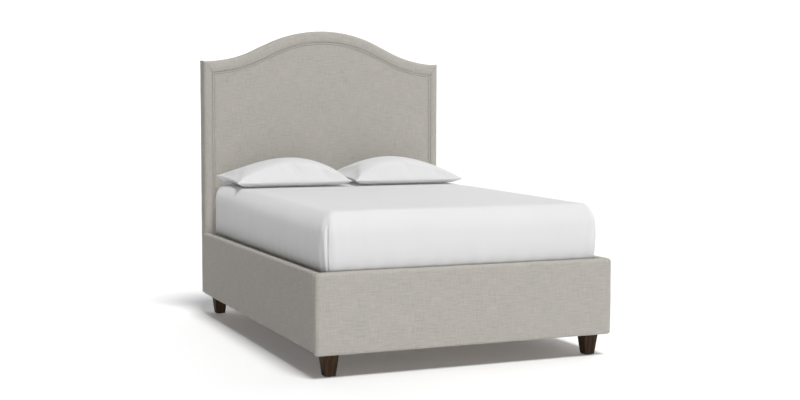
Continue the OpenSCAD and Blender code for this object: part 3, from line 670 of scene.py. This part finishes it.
def back_panel():
    """Cloth drawn over the back, with a turned-in edge and a row of staples along it."""
    inset = 0.013
    half, low = HEAD_HALF - inset, HEAD_LOW + 0.008
    cols = 60
    grid = []
    for k in range(cols + 1):
        x = -half + 2 * half * k / cols
        top = top_z(x, inset)
        row = []
        for j in range(49):
            z = low + (top - low) * j / 48
            d = min(half - abs(x), top - z, z - low)
            turned_in = 0.0014 * math.exp(-(d / 0.012)) * 0.3
            slack = 0.0012 * max(0, wave(x, 0, z, 3, 6)) * min(1, d / 0.08)
            y = HEAD_BACK + 0.0004 - turned_in - slack
            row.append((x, y, z))
        grid.append(row)
    piece = loft("headboard_back_cloth", grid, "backing_cloth", "bed_frame")
    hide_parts("headboard_back_cover")
    rim = full_path(inset + 0.007, HEAD_BACK + 0.0002)
    stitches("headboard_back_staples", [p for p, _ in rim], (0, 1, 0), "bed_frame", "fastener_steel",
             length=STAPLE, gap=0.034, r=0.0005)


back_panel()
hem = soft_box("headboard_lower_hem", (-HEAD_HALF + 0.001, HEAD_FRONT + 0.003, HEAD_LOW),
               (HEAD_HALF - 0.001, HEAD_BACK - 0.001, HEAD_LOW + 0.014),
               ((0.006, 0.006), (0.006, 0.004), (0.005, 0.002)), "linen", "bed_frame", step=0.03, turns=4)


# ---------------------------------------------------------------- surround

def soft_move(amount, seed, crown_axis=None, middle=0.0, half=1.0, crown=0.0):
    """A gentle unevenness for stretched upholstery, with a slight crown across one axis."""
    def shape(p, n):
        move = amount * wave(*p, 7, seed) + 0.45 * amount * wave(*p, 24, seed + 3)
        if crown_axis is not None:
            share = 1 - min(1.0, abs(p[crown_axis] - middle) / half) ** 2
            move += crown * share
        return p + n * move
    return shape


RAIL_LO, RAIL_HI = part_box("side_rail_cover_left")
FOOT_LO, FOOT_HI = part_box("footboard_cover")
rail_mid, rail_half = (RAIL_LO[2] + RAIL_HI[2]) / 2, (RAIL_HI[2] - RAIL_LO[2]) / 2
for side in ("left", "right"):
    lo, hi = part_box(f"side_rail_cover_{side}")
    rail = soft_box(f"side_rail_{side}_upholstery", (lo[0], lo[1] + 0.0004, lo[2]), (hi[0], hi[1] - 0.0004, hi[2]),
                    ((0.015, 0.015), (0.0065, 0.012), (0.010, 0.016)), "linen", "bed_frame", step=0.024, turns=6,
                    shape=soft_move(0.0006, 2 if side == "left" else 9, 2, rail_mid, rail_half, 0.0008))
    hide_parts(f"side_rail_cover_{side}")
    under = (lo[0] + hi[0]) / 2
    stitches(f"side_rail_{side}_underside_staples",
             [(under, lo[1] + 0.05, lo[2] + 0.0001), (under, hi[1] - 0.05, lo[2] + 0.0001)], (0, 0, -1),
             "bed_frame", "fastener_steel", length=STAPLE, gap=0.04, r=0.0005)

foot_mid, foot_half = (FOOT_LO[2] + FOOT_HI[2]) / 2, (FOOT_HI[2] - FOOT_LO[2]) / 2
footboard = soft_box("footboard_upholstery", (FOOT_LO[0], FOOT_LO[1], FOOT_LO[2]),
                     (FOOT_HI[0], FOOT_HI[1] - 0.0004, FOOT_HI[2]),
                     ((0.021, 0.021), (0.0165, 0.0075), (0.011, 0.016)), "linen", "bed_frame", step=0.022, turns=7,
                     shape=soft_move(0.0007, 14, 2, foot_mid, foot_half, 0.001))
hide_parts("footboard_cover")
for side, sign in (("left", -1), ("right", 1)):
    y = FOOT_LO[1] + 0.0215
    rows = [(sign * (FOOT_HI[0] + 0.0003), y, FOOT_LO[2] + 0.014 + 0.335 * k / 30) for k in range(31)]
    stitches(f"footboard_corner_stitch_{side}", rows, (sign, 0, 0), "bed_frame", length=0.0048, gap=0.0032, r=0.0008)


# ---------------------------------------------------------------- feet

def tapered_foot(node):
    """A square tapered foot with eased edges, made from a rounded block."""
    lo, hi = np.array(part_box(node)[0]), np.array(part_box(node)[1])
    centre, top = (lo + hi) / 2, (hi[0] - lo[0]) / 2
    base = 0.0248  # half its width at the floor

    def shape(p, n):
        share = (p[2] - lo[2]) / (hi[2] - lo[2])
        size = (base + (top - base) * share) / top
        return (centre[0] + (p[0] - centre[0]) * size, centre[1] + (p[1] - centre[1]) * size, p[2])
    piece = soft_box(f"{node}_turned_edge", lo, hi, ((0.003, 0.003),) * 2 + ((0.002, 0.0015),), "dark_wood",
                     "bed_frame", step=0.02, turns=4, shape=shape)
    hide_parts(node)


for name in ("foot_front_left", "foot_front_right", "foot_rear_left", "foot_rear_right"):
    tapered_foot(name)


# ---------------------------------------------------------------- foundation

BASE_LO, BASE_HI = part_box("foundation_cover")
BASE_R = 0.04


def base_shape(p, n):
    """Slight gathers round the foundation's sides."""
    ripple = 0.0006 * wave(p[0] * 3, p[1] * 3, p[2] * 0.4, 9, 7) + 0.0008 * wave(*p, 4, 3)
    return p + n * ripple


base = soft_box("foundation_upholstery", BASE_LO, BASE_HI, ((BASE_R, BASE_R), (BASE_R, BASE_R), (0.006, 0.008)),
                "ticking", "foundation", step=0.03, turns=7, shape=base_shape, skip=("-z",))
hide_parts("foundation_cover")


def round_loop(lo, hi, r, z, grow=0.0, steps=10):
    """Points round a rounded rectangle in plan, with outward directions."""
    path = []
    corners = ((hi[0] - r, hi[1] - r, 0), (lo[0] + r, hi[1] - r, 90),
               (lo[0] + r, lo[1] + r, 180), (hi[0] - r, lo[1] + r, 270))
    for cx, cy, start in corners:
        for k in range(steps + 1):
            t = math.radians(start + 90 * k / steps)
            out = (math.cos(t), math.sin(t), 0)
            path.append(((cx + (r + grow) * out[0], cy + (r + grow) * out[1], z), out))
    return path


for name, z in (("lower", BASE_LO[2] + 0.010), ("upper", BASE_HI[2] - 0.009)):
    tube(f"foundation_piping_{name}", round_loop(BASE_LO, BASE_HI, BASE_R, z, 0.0005), 0.0034, "ticking",
         "foundation", sides=8, closed=True)


# ---------------------------------------------------------------- fitted sheet

BED_LO, BED_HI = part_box("fitted_sheet")
R_CORNER, R_TOP, R_LOW = 0.052, 0.100, 0.030
TUCK = 0.09
PILLOW_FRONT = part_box("pillow_left_case")[0][1]


def sink(p):
    """The mattress top falls slightly towards the foot end."""
    share = min(1.0, max(0.0, (0.65 - p[1]) / 1.45))
    height = min(1.0, max(0.0, (p[2] - BED_LO[2]) / (BED_HI[2] - BED_LO[2])))
    return np.array((p[0], p[1], p[2] - 0.018 * share * height ** 2))


def sheet_shape(p, n):
    """Soft crown on the top, corner darts, drag lines from the corners and slack near the hem."""
    x, y, z = p
    cx, cy = (BED_LO[0] + BED_HI[0]) / 2, (BED_LO[1] + BED_HI[1]) / 2
    hx, hy = (BED_HI[0] - BED_LO[0]) / 2, (BED_HI[1] - BED_LO[1]) / 2
    height = (z - BED_LO[2]) / (BED_HI[2] - BED_LO[2])
    flatness = max(0.0, n[2])
    move = 0.0
    # Round-the-corner distance from the dart, measured along the side
    ax, ay = hx - abs(x - cx), hy - abs(y - cy)
    if ax < R_CORNER + 0.25 and ay < R_CORNER + 0.25:
        along = (abs(y - cy) - hy) - (abs(x - cx) - hx)
        side = 1 - flatness
        fade = min(1.0, max(0.0, (height - 0.02) / 0.1)) * side
        fade *= min(1.0, max(0.0, (0.80 - height) / 0.12))
        move += (-0.0050 * math.exp(-((along - 0.010) / 0.0036) ** 2)
                 + 0.0030 * math.exp(-((along + 0.003) / 0.008) ** 2)
                 + 0.0012 * math.exp(-((along - 0.021) / 0.008) ** 2)) * fade
        reach = math.exp(-(abs(along) / 0.11)) * side * math.exp(-((height - 0.72) / 0.5) ** 2)
        move += 0.0016 * math.sin(along * 120 + 6 * height) * reach
    move += 0.0022 * wave(x, y, z, 2.3, 4) * (1 - flatness) + 0.0010 * wave(x, y, z * 0.35, 11, 9) * (1 - flatness)
    hem = math.exp(-height / 0.16) * (1 - flatness)
    move += 0.0025 * math.sin((x - cx + (y - cy)) * 62 + 3 * wave(x, y, 0, 3, 2)) * hem
    if flatness > 0:
        open_area = min(1.0, max(0.0, (PILLOW_FRONT - 0.06 - y) / 0.15))
        edge = min(1.0, ax / 0.25) * min(1.0, ay / 0.25)
        move += flatness * open_area * (0.004 * edge + 0.0016 * wave(x, y, 0, 2.6, 7) * edge)
        move -= flatness * 0.0006 * (1 - open_area)
    front = min(1.0, max(0.0, (0.6 - y) / 1.2))
    move += 0.014 * front * (1 - flatness) * math.sin(math.pi * min(1.0, max(0.0, height))) ** 0.7
    return sink(p + n * max(move, -0.0058))


def hem_open(obj, depth):
    """Removes the underside except a tucked margin of this depth."""
    mesh = obj.data
    b = bmesh.new()
    b.from_mesh(mesh)
    gone = []
    for f in b.faces:
        c = f.calc_center_median()
        inside = min(c.x - BED_LO[0], BED_HI[0] - c.x, c.y - BED_LO[1], BED_HI[1] - c.y)
        if f.normal.z < -0.9 and c.z < BED_LO[2] + 0.01 and inside > depth:
            gone.append(f)
    bmesh.ops.delete(b, geom=gone, context="FACES")
    b.to_mesh(mesh)
    b.free()


inner = soft_box("mattress_ticking", (BED_LO[0] + 0.008, BED_LO[1] + 0.008, BED_LO[2] + 0.0025),
                 (BED_HI[0] - 0.008, BED_HI[1] - 0.008, BED_HI[2] - 0.008),
                 ((0.046, 0.046), (0.046, 0.046), (0.026, 0.092)), "ticking", "mattress", step=0.05, turns=8,
                 shape=lambda p, n: sink(p))
core_lo, core_hi = (np.array(c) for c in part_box("mattress_foam"))
core = soft_box("mattress_foam_core", core_lo + (0.004, 0.004, 0.0), core_hi - (0.004, 0.004, 0.004),
                ((0.042, 0.042), (0.042, 0.042), (0.020, 0.086)), "foam", "mattress", step=0.06, turns=8,
                shape=lambda p, n: sink(p))
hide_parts("mattress_foam")

sheet = soft_box("fitted_sheet_cloth", BED_LO, BED_HI, ((R_CORNER, R_CORNER), (R_CORNER, R_CORNER), (R_LOW, R_TOP)),
                 "sheet_cotton", "mattress", step=0.016, turns=20, shape=sheet_shape)
hem_open(sheet, TUCK)
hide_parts("fitted_sheet", "mattress_cover")
in_by = TUCK - 0.002
hem_loop = round_loop((BED_LO[0] + in_by, BED_LO[1] + in_by), (BED_HI[0] - in_by, BED_HI[1] - in_by), 0.03,
                      BED_LO[2] + 0.0012)
tube("fitted_sheet_elastic_hem", hem_loop, 0.0022, "sheet_cotton", "mattress", sides=6, closed=True)


# ---------------------------------------------------------------- pillows

def pillow_start(lo, hi, cell):
    """A closed two-layer pillow, thinner than the finished one, with its edge pulled to points at the corners."""
    cx, cy = (lo[0] + hi[0]) / 2, (lo[1] + hi[1]) / 2
    a, b = (hi[0] - lo[0]) / 2, (hi[1] - lo[1]) / 2
    cols, rows = int(2 * a / cell), int(2 * b / cell)
    verts, ring = [], {}
    for layer in (1, -1):
        for j in range(rows + 1):
            for i in range(cols + 1):
                u, v = 2 * i / cols - 1, 2 * j / rows - 1
                rim = i in (0, cols) or j in (0, rows)
                if rim and layer < 0:
                    continue
                pull = 0.022 * (1 - abs(v) ** 2.4) * abs(u) ** 6, 0.016 * (1 - abs(u) ** 2.4) * abs(v) ** 6
                x = cx + u * a * (1 - 0.025 * v ** 6) - math.copysign(pull[0], u)
                y = cy + v * b * (1 - 0.025 * u ** 6) - math.copysign(pull[1], v)
                full = (1 - u ** 2) ** 0.8 * (1 - v ** 2) ** 0.7
                z = layer * 0.055 * full
                ring[(layer, i, j)] = len(verts)
                if rim:
                    ring[(-layer, i, j)] = len(verts)
                verts.append((x, y, z))
    faces = []
    for layer in (1, -1):
        for j in range(rows):
            for i in range(cols):
                quad = [ring[(layer, i, j)], ring[(layer, i + 1, j)],
                        ring[(layer, i + 1, j + 1)], ring[(layer, i, j + 1)]]
                faces.append(quad if layer > 0 else quad[::-1])
    return verts, faces


def inflate(verts, faces, seed):
    """Runs cloth pressure on a copy of the mesh and returns the settled points, each moved at most 30 mm."""
    frames, pressure, most = 16, 4.0, 0.030
    mesh = bpy.data.meshes.new("settling")
    mesh.from_pydata([(x, y, z + 0.0012 * wave(x, y, z, 14, seed)) for x, y, z in verts], [], faces)
    mesh.update()
    obj = bpy.data.objects.new("settling", mesh)
    bpy.context.scene.collection.objects.link(obj)
    mod = obj.modifiers.new("cloth", "CLOTH")
    s = mod.settings
    s.quality, s.mass = 6, 0.18
    s.tension_stiffness = s.compression_stiffness = 22
    s.shear_stiffness, s.bending_stiffness = 8, 0.12
    s.use_pressure, s.uniform_pressure_force = True, pressure
    s.effector_weights.gravity = 0
    mod.collision_settings.use_self_collision = False
    mod.point_cache.frame_start, mod.point_cache.frame_end = 1, frames
    scene = bpy.context.scene
    for f in range(1, frames + 1):
        scene.frame_set(f)
    done = obj.evaluated_get(bpy.context.evaluated_depsgraph_get()).to_mesh()
    after = np.empty(len(done.vertices) * 3)
    done.vertices.foreach_get("co", after)
    after = after.reshape(-1, 3)
    before = np.array(verts)
    step = after - before
    size = np.linalg.norm(step, axis=1)[:, None]
    after = before + step * np.minimum(1, most / np.maximum(size, 1e-9))
    scene.frame_set(1)
    bpy.data.objects.remove(obj)
    bpy.data.meshes.remove(mesh)
    return after


def pillow(side, seed):
    """A filled pillow in its case: simulated fullness, flattened underside and pointed corners."""
    lo, hi = (np.array(c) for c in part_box(f"pillow_{side}_case"))
    sign = -1 if side == "left" else 1
    verts, faces = pillow_start(lo, hi, 0.0095)
    pts = np.array(verts)
    pts = inflate(verts, faces, seed)
    # Fit the settled form to its place and press its underside on the mattress
    low, high = pts.min(0), pts.max(0)
    for k in range(2):
        pts[:, k] = lo[k] + 0.005 + (pts[:, k] - low[k]) / (high[k] - low[k]) * (hi[k] - lo[k] - 0.010)
    pts[:, 0] -= sign * 0.006
    up = high[2]
    z = pts[:, 2]
    along = (pts[:, 0] - lo[0]) / (hi[0] - lo[0]) * 2 - 1
    across = (pts[:, 1] - lo[1]) / (hi[1] - lo[1]) * 2 - 1
    skew = along + sign * 0.10 * (1 - along ** 2)
    lean = (1 - skew ** 2) / np.maximum(1 - along ** 2, 1e-3)
    upper = np.maximum(z, 0) / up * np.clip(1 - along ** 2, 0, 1) ** 0.42 * np.clip(lean, 0.6, 1.5)
    upper = upper * np.clip(1 - across ** 2, 0, 1) ** 0.2
    upper = upper / upper.max()
    seam = 0.030 + np.abs(along) ** 3 * (0.020 + 0.014 * across)
    top = hi[2] - lo[2] - seam + 0.006
    lower = np.maximum(-z, 0) / max(-low[2], 1e-6)
    lift = seam + top * upper ** 0.92
    drop = seam * (1 - (1 - (1 - lower) ** (2.2 - 1.1 * np.abs(along) ** 3)) ** 0.9)
    z = np.where(z >= 0, lift, np.minimum(drop, seam))
    cx, cy = (lo[0] + hi[0]) / 2, (lo[1] + hi[1]) / 2
    u, v = (pts[:, 0] - cx) / (hi[0] - lo[0]) * 2, (pts[:, 1] - cy) / (hi[1] - lo[1]) * 2
    rim = np.maximum(np.abs(u) ** 5, np.abs(v) ** 5)
    z = z - 0.012 * rim + 0.004 * np.abs(u) ** 8
    pts[:, 2] = lo[2] + np.maximum(z, 0.0006)
    obj = build(f"pillow_{side}_cover", pts, faces, "case_cotton", f"pillow_{side}")
    sub = obj.modifiers.new("smooth", "SUBSURF")
    sub.levels = sub.render_levels = 1
    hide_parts(f"pillow_{side}_case", f"pillow_{side}_fill")


pillow("left", 3.0)
pillow("right", 12.0)


# ---------------------------------------------------------------- stage, light and camera

def stage():
    """The pale studio floor."""
    g = Graph("studio_floor")
    place = g.coord.outputs["Object"]
    tone = g.noise(place, 0.8, 2)
    g.finish(g.ramp(tone, (0.3, (0.88, 0.88, 0.88)), (0.7, (0.89, 0.89, 0.89))), None, None, Roughness=0.9,
             Specular_IOR_Level=0.1, Emission_Color=(1, 1, 1, 1), Emission_Strength=0.07)
    size = 40
    mesh = bpy.data.meshes.new("studio_floor")
    mesh.from_pydata([(-size, -size, 0), (size, -size, 0), (size, size, 0), (-size, size, 0)], [], [(0, 1, 2, 3)])
    mesh.materials.append(g.mat)
    floor = bpy.data.objects.new("studio_floor", mesh)
    bpy.context.scene.collection.objects.link(floor)
    floor.location.z = -0.0005


stage()
world = bpy.data.worlds.new("studio")
bpy.context.scene.world = world
world.use_nodes = True
sky = world.node_tree
where = sky.nodes.new("ShaderNodeTexCoord")
facing = sky.nodes.new("ShaderNodeVectorMath")
facing.operation = "DOT_PRODUCT"
facing.inputs[1].default_value = (0.60, 0.80, 0.15)
fade = sky.nodes.new("ShaderNodeMapRange")
fade.interpolation_type = "SMOOTHSTEP"
for key, value in (("From Min", 0.22), ("From Max", 0.80), ("To Min", 0.02), ("To Max", 1.15)):
    fade.inputs[key].default_value = value
sky.links.new(where.outputs["Generated"], facing.inputs[0])
sky.links.new(facing.outputs["Value"], fade.inputs["Value"])
sky.links.new(fade.outputs[0], sky.nodes["Background"].inputs["Strength"])
sky.nodes["Background"].inputs["Color"].default_value = (1.0, 1.0, 1.0, 1)
for name, energy, angle, direction, shadow in (("overhead_key", 2.64, 20, (-0.06, 0.38, -0.92), True),
                                               ("front_fill", 0.95, 40, (-0.05, 0.97, -0.22), False)):
    soft = bpy.data.lights.new(name, "SUN")
    soft.energy, soft.angle, soft.use_shadow = energy, math.radians(angle), shadow
    lamp = bpy.data.objects.new(name, soft)
    lamp.rotation_euler = Vector(direction).to_track_quat("-Z", "Y").to_euler()
    bpy.context.scene.collection.objects.link(lamp)

bpy.context.scene.view_settings.view_transform = "Standard"
lens = bpy.data.cameras.new("camera")
lens.sensor_width = 36.0
lens.lens = 56.05
camera = bpy.data.objects.new("camera", lens)
camera.location = (-2.471, -6.042, 1.158)
HEADING, DOWN, TILT = -0.400, 0.0708, 0.0014
turn = Matrix.Rotation(HEADING, 4, "Z") @ Matrix.Rotation(math.pi / 2 - DOWN, 4, "X") @ Matrix.Rotation(TILT, 4, "Z")
camera.rotation_euler = turn.to_euler()
bpy.context.scene.collection.objects.link(camera)
bpy.context.scene.camera = camera
